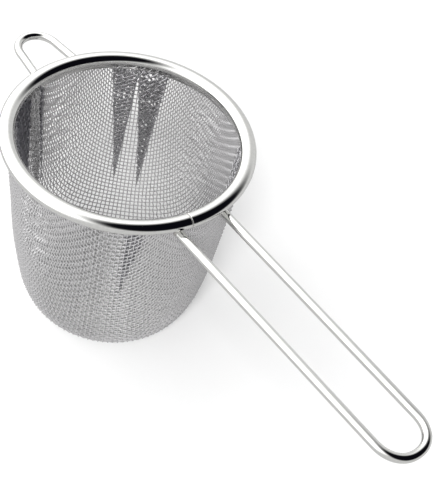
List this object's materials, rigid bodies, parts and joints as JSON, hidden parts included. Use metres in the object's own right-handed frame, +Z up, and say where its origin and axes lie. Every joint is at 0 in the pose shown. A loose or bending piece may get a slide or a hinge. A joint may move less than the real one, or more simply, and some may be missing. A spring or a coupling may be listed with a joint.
{
  "type": "wire mesh strainer",
  "caption": "Deep pot-shaped strainer of pleated woven wire cloth in a rolled rim, with a long wire loop handle and a short wire rest hook opposite.",
  "frame": {"origin": "centre of the underside of the basket's flat base", "axes": "+Z up along the basket's axis, out of the open mouth; +X along the handle; -X along the rest hook"},
  "size_m": [0.2142, 0.09, 0.0836],
  "materials": {
    "rim_steel": "mirror polished stainless strip",
    "core_steel": "drawn stainless wire",
    "cloth_steel": "bright plain-woven stainless wire cloth",
    "loop_steel": "mirror polished stainless wire",
    "weld_steel": "grey heat-tinted weld"
  },
  "bodies": {
    "root": {"rim_band": "rim_steel", "rim_seam_weld": "weld_steel", "rim_core_wire": "core_steel", "mesh_basket": "cloth_steel", "handle_loop": "loop_steel", "handle_weld_left": "weld_steel", "handle_weld_right": "weld_steel", "hook_loop": "loop_steel", "hook_weld_left": "weld_steel", "hook_weld_right": "weld_steel"}
  },
  "joints": []
}
